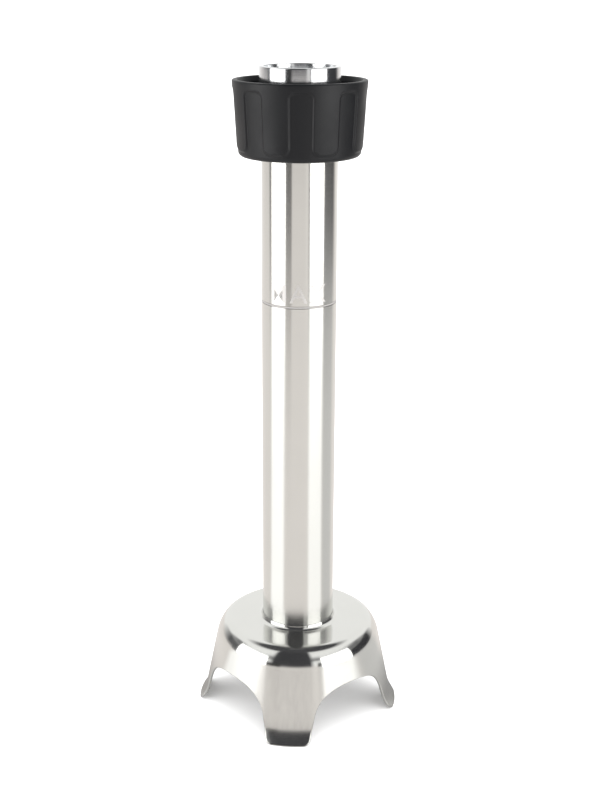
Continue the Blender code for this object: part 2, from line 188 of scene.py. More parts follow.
def metal(name, color, rough, spread=0.05, grain="z", grain_scale=900.0, bump=0.04, aniso=0.0, aniso_rot=0.0,
          tint=0.06, blotch=45.0):
    """Machined, brushed or polished metal: grain lines, roughness variation, slight colour variation."""
    n = Nodes(name)
    stretch = {"z": (6, 6, grain_scale), "long": (grain_scale, grain_scale, 8), "free": (90, 90, 90)}[grain]
    fine = n.noise(n.coords(stretch), 1.0, 3.0, 0.6)
    cloud = n.noise(n.coords(), blotch, 3.0, 0.5)
    dark = tuple(c * (1 - tint) for c in color)
    n.set(Base_Color=n.mix(cloud, dark, color), Metallic=1.0)
    mixed = n.math("ADD", n.math("MULTIPLY", fine, 0.6), n.math("MULTIPLY", cloud, 0.4))
    n.set(Roughness=n.remap(mixed, 0.3, 0.7, max(0.02, rough - spread), rough + spread))
    n.set(Normal=n.bump(fine, bump, 0.0002))
    if aniso:
        n.set(Anisotropic=aniso, Anisotropic_Rotation=aniso_rot)
        t = n.new("ShaderNodeTangent", direction_type="RADIAL", axis="Z")
        n.link(t.outputs["Tangent"], n.b.inputs["Tangent"])
    return n.mat


def moulded(name, color, rough, grain=0.12, grain_scale=1800.0, spread=0.06, light=1.35, spec=0.5):
    """Moulded plastic or rubber: fine spark-eroded grain, faint clouding, worn lighter tone."""
    n = Nodes(name)
    v = n.coords()
    g = n.noise(v, grain_scale, 2.0, 0.6)
    c = n.noise(v, 60.0, 4.0, 0.55)
    n.set(Base_Color=n.mix(c, color, tuple(min(1.0, x * light) for x in color)))
    n.set(Roughness=n.remap(c, 0.3, 0.7, rough - spread, rough + spread))
    n.set(Normal=n.bump(g, grain, 0.0001))
    n.b.inputs["Specular IOR Level"].default_value = spec
    return n.mat


def etched_steel(name):
    """Polished tube with the pale laser-etched fill ring at its height."""
    n = Nodes(name)
    tc = n.new("ShaderNodeTexCoord")
    sep = n.new("ShaderNodeSeparateXYZ")
    n.link(tc.outputs["Object"], sep.inputs[0])
    z = sep.outputs["Z"]
    fine = n.noise(n.coords((5, 5, 1500)), 1.0, 3.0, 0.65)
    scratch = n.noise(n.coords((30, 30, 5200)), 1.0, 2.0, 0.6)
    cloud = n.noise(n.coords(), 30.0, 3.0, 0.5)
    off = n.math("ABSOLUTE", n.math("SUBTRACT", z, FILL_Z * MM))
    ring = n.remap(off, 0.00034, 0.0005, 1.0, 0.0)
    rim = n.remap(n.math("ABSOLUTE", n.math("SUBTRACT", off, 0.00052)), 0.00006, 0.0002, 1.0, 0.0)
    base = n.mix(cloud, (0.665, 0.665, 0.64), (0.72, 0.72, 0.695))
    base = n.mix(rim, base, (0.22, 0.21, 0.20))
    base = n.mix(ring, base, (0.31, 0.30, 0.29))
    n.set(Base_Color=base)
    n.set(Metallic=n.remap(ring, 0, 1, 1.0, 0.25))
    r0 = n.remap(n.math("ADD", n.math("MULTIPLY", fine, 0.5), n.math("MULTIPLY", scratch, 0.5)), 0.3, 0.7, 0.16, 0.21)
    n.set(Roughness=n.math("ADD", r0, n.math("MULTIPLY", ring, 0.45)))
    n.set(Normal=n.bump(scratch, 0.05, 0.00008, n.bump(fine, 0.05, 0.0001)))
    n.set(Anisotropic=0.85, Anisotropic_Rotation=0.25)
    t = n.new("ShaderNodeTangent", direction_type="RADIAL", axis="Z")
    n.link(t.outputs["Tangent"], n.b.inputs["Tangent"])
    return n.mat


def satin_bell(name):
    """Drawn and polished sheet: nearly mirror crown and shoulder, satin skirt with a fine polish grain."""
    n = Nodes(name)
    tc = n.new("ShaderNodeTexCoord")
    sep = n.new("ShaderNodeSeparateXYZ")
    n.link(tc.outputs["Object"], sep.inputs[0])
    fine = n.noise(n.coords((40, 40, 1400)), 1.0, 3.0, 0.6)
    along = n.noise(n.coords((700, 700, 30)), 1.0, 2.0, 0.6)
    cloud = n.noise(n.coords(), 55.0, 4.0, 0.55)
    skirt = n.remap(sep.outputs["Z"], 0.0412, 0.0385, 0.0, 1.0)
    n.set(Base_Color=n.mix(cloud, (0.67, 0.67, 0.645), (0.72, 0.72, 0.695)), Metallic=1.0)
    low = n.remap(n.math("ADD", n.math("MULTIPLY", fine, 0.5), n.math("MULTIPLY", cloud, 0.5)), 0.35, 0.65, 0.09, 0.13)
    high = n.remap(n.math("ADD", n.math("MULTIPLY", along, 0.5), n.math("MULTIPLY", cloud, 0.5)), 0.35, 0.65, 0.15, 0.20)
    m = n.new("ShaderNodeMix", data_type="FLOAT")
    n.link(skirt, m.inputs[0])
    n.link(low, m.inputs[2])
    n.link(high, m.inputs[3])
    n.set(Roughness=m.outputs[0])
    n.set(Normal=n.bump(along, 0.004, 0.0001, n.bump(fine, 0.03, 0.0001)))
    n.set(Anisotropic=0.9, Anisotropic_Rotation=0.25)
    t = n.new("ShaderNodeTangent", direction_type="RADIAL", axis="Z")
    n.link(t.outputs["Tangent"], n.b.inputs["Tangent"])
    return n.mat


M = {}
M["tube"] = etched_steel("tube_polished_steel")
M["bell"] = satin_bell("guard_satin_steel")
M["spigot"] = metal("spigot_turned_alloy", (0.72, 0.73, 0.74), 0.14, 0.05, "z", 2600.0, 0.10)
M["collar"] = moulded("collar_black_plastic", (0.0020, 0.0024, 0.0034), 0.44, 0.10, 2200.0, 0.06, 1.35, 0.30)
M["insert"] = metal("insert_black_anodised", (0.035, 0.035, 0.038), 0.38, 0.06, "z", 1200.0, 0.05)
M["spring"] = metal("spring_phosphated", (0.30, 0.30, 0.32), 0.36, 0.08, "free", 900.0, 0.05)
M["bearing"] = metal("bearing_ground_steel", (0.66, 0.66, 0.68), 0.16, 0.05, "z", 3000.0, 0.04)
M["brass"] = metal("cage_pressed_brass", (0.68, 0.50, 0.24), 0.28, 0.07, "free", 900.0, 0.04)
M["acetal"] = moulded("natural_acetal", (0.74, 0.74, 0.70), 0.42, 0.05, 1500.0, 0.05, 1.06)
M["rubber"] = moulded("seal_rubber", (0.013, 0.013, 0.014), 0.62, 0.10, 2500.0, 0.06, 1.5)
M["hub"] = metal("hub_turned_stainless", (0.70, 0.69, 0.68), 0.24, 0.06, "z", 2200.0, 0.08)
M["bronze"] = metal("bush_sintered_bronze", (0.56, 0.37, 0.19), 0.42, 0.10, "free", 900.0, 0.10)
M["shaft"] = metal("shaft_ground_stainless", (0.72, 0.72, 0.72), 0.18, 0.05, "z", 2600.0, 0.05)
M["coupling"] = metal("coupling_hardened_steel", (0.46, 0.46, 0.48), 0.30, 0.07, "z", 1800.0, 0.06)
M["blade"] = metal("blade_ground_stainless", (0.78, 0.78, 0.78), 0.20, 0.06, "long", 900.0, 0.06)
M["etch"] = metal("etched_fill_mark", (0.72, 0.71, 0.695), 0.55, 0.05, "free", 900.0, 0.10)


# ------------------------------------------------------------------ mesh helpers
def ring_point(r, z, deg):
    a = math.radians(deg)
    return Vector((r * math.cos(a), r * math.sin(a), z)) * MM


def grid(name, rows, mat, body, replaces=(), closed=True, sharp=35.0, caps=True):
    """Rows round the axis joined into one closed skin, shaded smooth with real edges kept."""
    bm = bmesh.new()
    vs = [[bm.verts.new(p) for p in row] for row in rows]
    n = len(rows[0])
    pairs = list(zip(vs, vs[1:]))
    if closed:
        pairs.append((vs[-1], vs[0]))
    for a, b in pairs:
        for i in range(n):
            j = (i + 1) % n
            bm.faces.new((a[i], a[j], b[j], b[i]))
    if not closed and caps:
        for row in (vs[0], vs[-1]):
            c = bm.verts.new(sum((v.co for v in row), Vector()) / n)
            for i in range(n):
                bm.faces.new((row[i], row[(i + 1) % n], c))
    return finish_mesh(name, bm, mat, body, replaces, sharp)


def finish_mesh(name, bm, mat, body, replaces=(), sharp=35.0):
    bmesh.ops.recalc_face_normals(bm, faces=bm.faces)
    me = bpy.data.meshes.new(name)
    bm.to_mesh(me)
    bm.free()
    for p in me.polygons:
        p.use_smooth = True
    me.set_sharp_from_angle(angle=math.radians(sharp))
    ob = bpy.data.objects.new(name, me)
    bpy.context.scene.collection.objects.link(ob)
    me.materials.append(mat)
    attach(ob, body)
    if replaces:
        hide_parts(*replaces)
    return ob


def fillet(profile, radius, seg=3, closed=True):
    """Round every corner of an (r, z) outline; radius is capped by the edge lengths."""
    out = []
    n = len(profile)
    for i, p in enumerate(profile):
        if not closed and i in (0, n - 1):
            out.append(p)
            continue
        rad = radius
        if len(p) > 2:
            rad = p[2]
        a, c = Vector(profile[i - 1][:2]), Vector(profile[(i + 1) % n][:2])
        b = Vector(p[:2])
        u, v = a - b, c - b
        lu, lv = u.length, v.length
        if lu < 1e-6 or lv < 1e-6 or rad <= 0:
            out.append((b.x, b.y))
            continue
        u.normalize()
        v.normalize()
        ang = math.acos(max(-1.0, min(1.0, u.dot(v))))
        if ang > math.radians(172):
            out.append((b.x, b.y))
            continue
        d = min(rad / math.tan(ang / 2), lu * 0.45, lv * 0.45)
        s, e = b + u * d, b + v * d
        for k in range(seg + 1):
            t = k / seg
            q = s * (1 - t) ** 2 + b * 2 * t * (1 - t) + e * t * t
            out.append((q.x, q.y))
    return out


def lathe(name, profile, mat, body, replaces=(), n=96, rad=0.25, seg=3, closed=True, sharp=35.0):
    prof = fillet(profile, rad, seg, closed)
    rows = [[ring_point(r, z, 360.0 * i / n) for i in range(n)] for r, z in prof]
    return grid(name, rows, mat, body, replaces, closed, sharp)


# ------------------------------------------------------------------ guard bell
def unit(deg):
    return Vector((math.cos(math.radians(deg)), math.sin(math.radians(deg))))


def shoulder(steps=(12, 14)):
    """Crown to skirt in two blended arcs, tight above and easy below; points as (r, z, slope angle of the normal)."""
    tight, easy, join = 6.0, 17.0, 40.0
    top, low = 90.0 - math.degrees(math.atan(BELL_TOP_SLOPE)), math.degrees(BELL_CONE)
    corner = Vector((BELL_CORNER_R, BELL_TOP_Z))
    down = Vector((math.tan(BELL_CONE), -1.0)).normalized()
    lo, hi = 0.0, 40.0
    for _ in range(60):                      # slide the end of the easy arc down the skirt until the crown is met
        mid = (lo + hi) / 2
        end = corner + down * mid
        c2 = end - unit(low) * easy
        c1 = c2 + unit(join) * (easy - tight)
        a = c1 + unit(top) * tight
        if a.y > BELL_TOP_Z + (BELL_CORNER_R - a.x) * BELL_TOP_SLOPE:
            lo = mid
        else:
            hi = mid
    pts = []
    for i in range(steps[0] + 1):
        e = lerp(top, join, i / steps[0])
        q = c1 + unit(e) * tight
        pts.append((q.x, q.y, e))
    for i in range(1, steps[1] + 1):
        e = lerp(join, low, i / steps[1])
        q = c2 + unit(e) * easy
        pts.append((q.x, q.y, e))
    return pts


SHOULDER = shoulder()
SH_A = Vector(SHOULDER[0][:2])
SH_B = Vector(SHOULDER[-1][:2])


def crown_z(r):
    return BELL_TOP_Z + (BELL_CORNER_R - r) * BELL_TOP_SLOPE


def skirt_r(z):
    r = SH_B.x + (SH_B.y - z) * math.tan(BELL_CONE)
    if z < FLARE_Z:
        r += FLARE_OUT * ((FLARE_Z - z) / FLARE_Z) ** 2
    return r


def skirt_slope(z):
    s = math.tan(BELL_CONE)
    if z < FLARE_Z:
        s += 2 * FLARE_OUT * (FLARE_Z - z) / FLARE_Z ** 2
    return s


def outline(toe_n=7, corner_n=10, leg_n=9, arch_n=26):
    """Lower edge from a foot's middle to the arch's middle in unrolled (mm round, mm up)."""
    lean = Vector((LEG_LEAN, 1.0)).normalized()
    turn = math.acos(-lean.x) / 2
    flat_end = LEG_BASE - LEG_CORNER / math.tan(turn)
    c = Vector((flat_end, LEG_CORNER))
    pts = [Vector((flat_end * i / toe_n, 0.0)) for i in range(toe_n)]
    sweep = math.pi - 2 * turn
    for i in range(corner_n + 1):
        a = -math.pi / 2 + sweep * i / corner_n
        pts.append(c + Vector((math.cos(a), math.sin(a))) * LEG_CORNER)
    s, p0 = pts[-1], Vector((LEG_BASE + LEG_LEAN * LEG_TOP, LEG_TOP))
    for i in range(1, leg_n + 1):
        pts.append(s.lerp(p0, i / leg_n))
    p1 = Vector((LEG_BASE + LEG_LEAN * ARCH_TOP, ARCH_TOP))
    p2 = Vector((EDGE_R * math.pi / FEET, ARCH_TOP))
    for i in range(1, arch_n + 1):
        t = i / arch_n
        pts.append(p0 * (1 - t) ** 2 + p1 * 2 * t * (1 - t) + p2 * t * t)
    return pts


def bell():
    half = outline()
    length = [0.0]
    for a, b in zip(half, half[1:]):
        length.append(length[-1] + (b - a).length)
    inward = []
    for i, p in enumerate(half):
        if i == 0 or i == len(half) - 1:
            inward.append(Vector((0.0, 1.0)))
            continue
        t = (half[i + 1] - half[i - 1]).normalized()
        inward.append(Vector((-t.y, t.x)))
    span = 180.0 / FEET
    cols = []                                # (angle of the crown end, sign, middle, outline point, inward normal)
    for k in range(FEET):
        mid = FOOT_FIRST + 360.0 * k / FEET
        one = [(mid, sg, p, nrm, span * s / length[-1]) for sg in (-1, 1)
               for p, nrm, s in zip(half, inward, length)]
        m = len(half)
        cols += list(reversed(one[:m]))[1:] + one[m:][1:]

    def edge(col, push):
        mid, sg, p, nrm, _ = col
        q = p + nrm * push
        return mid + sg * math.degrees(q.x / EDGE_R), q.y

    def full(r, z):
        return [ring_point(r, z, c[0] + c[1] * c[4]) for c in cols]

    rows = []
    seat = crown_z(TUBE_R)
    # crown: bore edge, plate under the tube, raised neck fillet round the tube, open crown
    prof = [(BELL_HOLE_R, crown_z(BELL_HOLE_R) - 0.2), (BELL_HOLE_R + 0.2, crown_z(BELL_HOLE_R)),
            (TUBE_R + 0.14, seat), (TUBE_R + 0.16, seat + 2.6)]
    toe = crown_z(TUBE_R + 3.0)
    for k in range(11):                      # weld fillet, concave towards the crown
        a = k / 10 * math.pi / 2
        prof.append((TUBE_R + 0.30 + 2.7 * (1 - math.cos(a)), toe + 2.5 * (1 - math.sin(a))))
    for k in range(1, 6):
        r = lerp(TUBE_R + 3.0, SH_A.x, k / 5)
        prof.append((r, crown_z(r)))
    prof += [(r, z) for r, z, _ in SHOULDER[1:]]
    rows += [full(r, z) for r, z in prof]

    round_in = 0.62
    z_top = SH_B.y

    def skirt_row(f, depth, push):
        row = []
        for c in cols:
            deg, z = edge(c, push)
            zz = z_top + (z - z_top) * f
            crown = c[0] + c[1] * c[4]
            row.append(ring_point(skirt_r(zz) - depth * math.hypot(1.0, skirt_slope(zz)), zz, lerp(crown, deg, f)))
        return row

    steps = 30
    for i in range(1, steps + 1):
        t = i / steps
        rows.append(skirt_row(1 - (1 - t) ** 1.35, 0.0, round_in))
    for k in range(1, 8):                    # rounded sheet edge
        b = math.pi * k / 8
        rows.append(skirt_row(1.0, BELL_T / 2 * (1 - math.cos(b)), round_in * (1 - math.sin(b))))
    for i in range(20, 0, -1):
        t = i / 20
        rows.append(skirt_row(1 - (1 - t) ** 1.35, BELL_T, round_in))
    for r, z, e in SHOULDER[::-2]:
        q = Vector((r, z)) - unit(e) * BELL_T
        rows.append(full(q.x, q.y))
    rows.append(full(22.0, crown_z(22.0) - BELL_T))
    rows.append(full(BELL_HOLE_R + 0.2, crown_z(BELL_HOLE_R) - BELL_T))
    rows.append(full(BELL_HOLE_R, crown_z(BELL_HOLE_R) - BELL_T + 0.2))
    return grid("guard_skin", rows, M["bell"], "housing", ("guard_bell",), True, 50.0)


bell()

# ------------------------------------------------------------------ tube, its fill ring and its level mark
tube_prof = [(TUBE_R - TUBE_WALL, 50.0), (TUBE_R, 50.0)]
for z in (51.0, 80, 120, 160, 200, 225.4, 226.3):
    tube_prof.append((TUBE_R, z))
for dz, dr in ((-0.62, 0.0), (-0.5, 0.05), (-0.38, 0.09), (0.38, 0.09), (0.5, 0.05), (0.62, 0.0)):
    tube_prof.append((TUBE_R - dr, FILL_Z + dz))
for z in (227.8, 228.7, 240, 270, 309.6):
    tube_prof.append((TUBE_R, z))
tube_prof += [(TUBE_R - TUBE_WALL, 309.6), (TUBE_R - TUBE_WALL, 180)]
lathe("tube_skin", tube_prof, M["tube"], "housing", ("outer_tube",), 160, 0.0)


def fill_mark():
    """The word MAX in plain strokes, etched above the fill ring and wrapped round the tube."""
    cu = bpy.data.curves.new("fill_mark_text", "FONT")
    cu.body = "MAX"
    cu.size = 13.0 * MM
    cu.space_character = 1.18
    cu.align_x = "CENTER"
    cu.extrude = 0.04 * MM
    cu.offset = 0.08 * MM
    tmp = bpy.data.objects.new("fill_mark_text", cu)
    bpy.context.scene.collection.objects.link(tmp)
    bpy.context.view_layer.update()
    me = bpy.data.meshes.new_from_object(tmp.evaluated_get(bpy.context.evaluated_depsgraph_get()))
    bpy.data.objects.remove(tmp, do_unlink=True)
    bpy.data.curves.remove(cu)
    bm = bmesh.new()
    bm.from_mesh(me)
    bpy.data.meshes.remove(me)
    bmesh.ops.remove_doubles(bm, verts=bm.verts, dist=1e-6)
    xs = [v.co.x for v in bm.verts]
    lo, hi = min(xs), max(xs)
    cut = lo + 0.0006
    while cut < hi:
        bmesh.ops.bisect_plane(bm, geom=bm.verts[:] + bm.edges[:] + bm.faces[:], dist=1e-7,
                               plane_co=(cut, 0, 0), plane_no=(1, 0, 0))
        cut += 0.0006
    mid = (lo + hi) / 2
    base = math.degrees(CAM_AZ) - 1.0
    for v in bm.verts:
        ang = base + math.degrees((v.co.x - mid) / (TUBE_R * MM))
        up = v.co.y / MM
        v.co = ring_point(TUBE_R + 0.03 + v.co.z / MM, FILL_Z + 2.4 + up, ang)
    bmesh.ops.recalc_face_normals(bm, faces=bm.faces)
    return finish_mesh("fill_level_mark", bm, M["etch"], "housing", (), 60.0)


fill_mark()


# ------------------------------------------------------------------ collar
def collar_r(z):
    return lerp(COLLAR_R0, COLLAR_R1, (z - COLLAR_Z0) / (COLLAR_Z1 - COLLAR_Z0))


def recess(s, z):
    """0 on the raised grip, 1 on the floor of a channel or of the bottom band. s is mm from a channel's middle."""
    hw = math.radians(CHANNEL_HALF) * 32.0
    q = Vector((abs(s) - (hw - 3.2), z - (CHANNEL_TOP - 3.2)))
    box = Vector((max(q.x, 0), max(q.y, 0))).length + min(max(q.x, q.y), 0.0) - 3.2
    band = z - LOBE_BOTTOM
    rad = 3.6
    ux, uy = max(rad - box, 0.0), max(rad - band, 0.0)
    d = max(rad, min(box, band)) - math.hypot(ux, uy)
    return 1.0 - smooth((d + 0.75) / 1.25)


def collar():
    pitch = 360.0 / CHANNELS
    offs = []
    for i in range(44):
        offs.append(i / 44)
    # crowd columns towards the channel edges
    e = CHANNEL_HALF / pitch
    marks = [0.0, e * 0.35, e * 0.6] + [e * (0.78 + 0.44 * k / 11) for k in range(12)] + \
            [lerp(e * 1.3, 0.5, k / 6) for k in range(1, 6)]
    offs = sorted(set([round(m, 5) for m in marks] + [0.5] + [round(1 - m, 5) for m in marks if m > 0]))
    angles = [(k, o) for k in range(CHANNELS) for o in offs]

    def row(z, r=None, amount=1.0):
        out = []
        for k, o in angles:
            a = CHANNEL_PHASE + pitch * (k + o)
            s = (o if o <= 0.5 else 1 - o) * math.radians(pitch) * 32.0
            rr = (collar_r(z) if r is None else r) - CHANNEL_DEPTH * recess(s, z) * amount
            out.append(ring_point(rr, z, a))
        return out

    zs = []
    z = COLLAR_Z0 + 2.6
    while z < COLLAR_Z1 - 1.2:
        zs.append(z)
        near = min(abs(z - LOBE_BOTTOM - 1.5), abs(z - CHANNEL_TOP + 1.5))
        z += 0.34 if near < 3.4 else 1.1
    lip = COLLAR_Z0 + 4.2
    rows = [row(lip, 27.2, 0), row(lip - 0.3, 27.0, 0), row(COLLAR_Z0 + 0.35, 27.0, 0), row(COLLAR_Z0, 27.35, 0)]
    big = 2.5                                # bottom outside rounding, down to the recessed level
    rb = collar_r(COLLAR_Z0 + big) - CHANNEL_DEPTH
    for k in range(0, 9):
        a = math.pi / 2 * k / 8
        rows.append(row(COLLAR_Z0 + big - big * math.cos(a), rb - big + big * math.sin(a), 0))
    rows += [row(z) for z in zs]
    rr = 0.75
    rt = collar_r(COLLAR_Z1 - rr)
    for k in range(0, 6):
        a = math.pi / 2 * k / 5
        rows.append(row(COLLAR_Z1 - rr + rr * math.sin(a), rt - rr + rr * math.cos(a), 0))
    for k in range(0, 5):
        a = math.pi / 2 * k / 4
        rows.append(row(COLLAR_Z1 - 0.5 + 0.5 * math.cos(a), rt - 2.2 - 0.5 * math.sin(a), 0))
    rows += [row(COLLAR_Z1 - 2.0, COLLAR_CORE_R + 0.05, 0), row(COLLAR_Z1 - 3.0, COLLAR_CORE_R, 0),
             row(309.2, COLLAR_CORE_R, 0), row(309.0, COLLAR_CORE_R - 0.3, 0),
             row(309.0, COLLAR_BORE + 0.4, 0), row(308.6, COLLAR_BORE, 0), row(lip + 0.4, COLLAR_BORE, 0),
             row(lip, COLLAR_BORE + 0.4, 0)]
    return grid("collar_grip", rows, M["collar"], "collar", ("locking_collar",), True, 60.0)


collar()


def thread_insert():
    """Threaded ring: a real helix, run out at both ends."""
    n, z0, z1, pitch = 96, 310.0, 333.0, 2.5
    steps = 74
    rows = []
    outer = [(26.9, z0), (29.0, z0), (29.3, z0 + 0.4), (29.3, z1 - 0.4), (29.0, z1), (27.6, z1)]
    for r, z in outer:
        rows.append([ring_point(r, z, 360.0 * i / n) for i in range(n)])
    for k in range(steps + 1):
        z = lerp(z1 - 0.3, z0 + 0.3, k / steps)
        row = []
        for i in range(n):
            ph = (z - z0) / pitch - i / n
            saw = abs((ph % 1.0) * 2 - 1)
            fade = smooth((z - z0 - 0.3) / 1.5) * smooth((z1 - 0.3 - z) / 1.5)
            r = lerp(27.2, 27.25 - 0.95 * smooth((saw - 0.12) / 0.76), fade)
            row.append(ring_point(r, z, 360.0 * i / n))
        rows.append(row)
    return grid("insert_thread", rows, M["insert"], "collar", ("collar_thread_insert",), True, 60.0)


thread_insert()

# ------------------------------------------------------------------ spigot
SR, SI, STOP, FLOOR = 19.95, 17.6, 342.7, 323.0
lathe("spigot_turned", [
    (9.8, 310.0), (TUBE_R + 0.3, 310.0), (TUBE_R + 0.3, 300.9), (21.8, 300.9), (21.8, 311.0), (25.5, 311.0, 0.5),
    (25.5, 314.5, 0.5), (SR, 314.5, 0.3), (SR, 330.0), (SR, STOP, 0.55), (SI, STOP, 0.35), (SI, 333.0), (SI, FLOOR, 0.8),
    (11.3, FLOOR, 0.3), (11.3, 320.6, 0.05), (12.3, 320.6, 0.05), (12.3, 319.1, 0.05), (11.3, 319.1, 0.05),
    (11.3, 311.2, 0.1), (9.8, 311.2)],
    M["spigot"], "housing", ("coupling_spigot",), 160, 0.2, 4)


def coupling():
    n = 144
    ang = [360.0 * i / n for i in range(n)]

    def lobed(a, hi, lo):
        c = math.cos(math.radians(a) * 6)
        return lerp(lo, hi, 0.5 + 0.5 * max(-1.0, min(1.0, 2.2 * c)))

    rows = []
    for r, z in ((SHAFT_R + 0.1, 321.6), (SHAFT_R + 0.4, 321.4), (7.6, 321.4), (8.4, 321.7), (8.8, 322.3), (8.8, 325.0),
                 (8.8, 327.2), (8.55, 327.6)):
        rows.append([ring_point(r, z, a) for a in ang])
    for hi, lo, z in ((8.35, 6.75, 327.7), (8.3, 6.55, 328.3), (8.3, 6.5, 332.0), (8.3, 6.5, 336.0), (8.1, 6.35, 336.6),
                      (7.6, 6.0, 337.1), (7.2, 5.8, 337.2)):
        rows.append([ring_point(lobed(a, hi, lo), z, a) for a in ang])
    for r, z in ((4.9, 337.2), (4.5, 336.8), (4.4, 336.2), (4.4, 330.0), (4.1, 329.6), (2.3, 329.6), (2.1, 329.4),
                 (2.1, 328.6), (2.4, 328.4), (SHAFT_R + 0.1, 328.4)):
        rows.append([ring_point(r, z, a) for a in ang])
    return grid("drive_dog", rows, M["coupling"], "shaft", ("drive_coupling",), True, 40.0)


coupling()


def socket_screw():
    """Cap screw with a hexagonal socket, holding the dog on the shaft."""
    n = 48
    ang = [360.0 * i / n for i in range(n)]

    def hexr(a, flats):
        return flats / 2 / math.cos(math.radians(a % 60.0 - 30.0))

    rows = [[ring_point(r, z, a) for a in ang] for r, z in
            ((1.2, 318.6), (1.5, 318.9), (1.5, 329.9), (3.5, 329.9), (3.7, 330.1), (3.7, 332.3), (3.3, 332.9), (2.2, 333.0))]
    rows.append([ring_point(hexr(a, 3.0), 332.7, a) for a in ang])
    rows.append([ring_point(hexr(a, 2.9), 331.3, a) for a in ang])
    return grid("dog_screw", rows, M["spring"], "shaft", ("coupling_screw",), False, 35.0)


socket_screw()

# ------------------------------------------------------------------ lower hub, nut, retainer
lathe("hub_body", [
    (8.3, 30.6), (10.4, 30.6), (12.1, 33.5), (12.1, 42.0), (12.1, 50.1), (17.2, 50.1), (17.2, 64.75), (15.1, 64.75),
    (15.1, 67.25), (17.2, 67.25), (17.2, 72.5, 0.8), (7.3, 72.5), (7.3, 57.0), (5.2, 57.0), (5.2, 37.6), (8.3, 37.6)],
    M["hub"], "housing", ("lower_hub",), 96, 0.25)


def hex_nut(name, bore, flats, z0, z1, cham, mat, body, rep):
    n = 96
    ang = [360.0 * i / n for i in range(n)]

    def hexr(a):
        return flats / 2 / math.cos(math.radians(a % 60.0 - 30.0))

    rim = flats / 2
    rows = []

    def level(z, cut):
        return [ring_point(min(hexr(a), rim + (flats / 2 / math.cos(math.radians(30)) - rim) * cut + 0.02), z, a) for a in ang]

    rows.append([ring_point(bore + 0.35, z0, a) for a in ang])
    for k in range(5):
        rows.append(level(z0 + cham * (k / 4), k / 4))
    for k in range(5):
        rows.append(level(z1 - cham * (1 - k / 4), 1 - k / 4))
    rows.append([ring_point(bore + 0.35, z1, a) for a in ang])
    rows.append([ring_point(bore, z1 - 0.35, a) for a in ang])
    rows.append([ring_point(bore, z0 + 0.35, a) for a in ang])
    return grid(name, rows, mat, body, rep, True, 28.0)


hex_nut("hub_nut", 12.4, 30.0, 41.7, 47.6, 0.9, M["hub"], "housing", ("hub_clamp_nut",))
lathe("retainer_ring", [(5.6, 29.0), (10.1, 29.0, 0.5), (10.1, 30.3), (8.0, 30.3), (8.0, 31.6), (6.8, 31.6), (6.8, 30.2),
                        (5.6, 30.2)], M["hub"], "housing", ("seal_retainer",), 72, 0.15)
lathe("spacer_sleeve", [(SHAFT_R + 0.1, 15.2), (6.4, 15.2, 0.5), (6.4, 28.6, 0.5), (SHAFT_R + 0.1, 28.6)],
      M["shaft"], "shaft", ("blade_spacer",), 72, 0.2)
lathe("washer_plain", [(SHAFT_R + 0.1, 11.9), (6.8, 11.9, 0.2), (6.8, 12.9, 0.2), (SHAFT_R + 0.1, 12.9)],
      M["shaft"], "shaft", ("blade_washer",), 72, 0.1)


def closed_nut():
    n = 96
    ang = [360.0 * i / n for i in range(n)]

    def hexr(a):
        return 5.5 / math.cos(math.radians(a % 60.0 - 30.0))

    rows = []
    for r, z in ((1.6, 5.6), (3.2, 5.65), (4.4, 5.85), (5.1, 6.2), (5.5, 6.6)):
        rows.append([ring_point(r, z, a) for a in ang])
    for k in range(1, 5):
        rows.append([ring_point(min(hexr(a), 5.5 + 0.9 * k / 4), 6.6 + 0.5 * k / 4, a) for a in ang])
    rows.append([ring_point(hexr(a), 11.0, a) for a in ang])
    rows.append([ring_point(min(hexr(a), 5.9), 11.5, a) for a in ang])
    for r, z in ((SHAFT_R + 0.3, 11.5), (SHAFT_R + 0.1, 11.3), (SHAFT_R + 0.1, 6.8)):
        rows.append([ring_point(r, z, a) for a in ang])
    return grid("closed_nut", rows, M["shaft"], "shaft", ("blade_nut",), False, 28.0)


closed_nut()


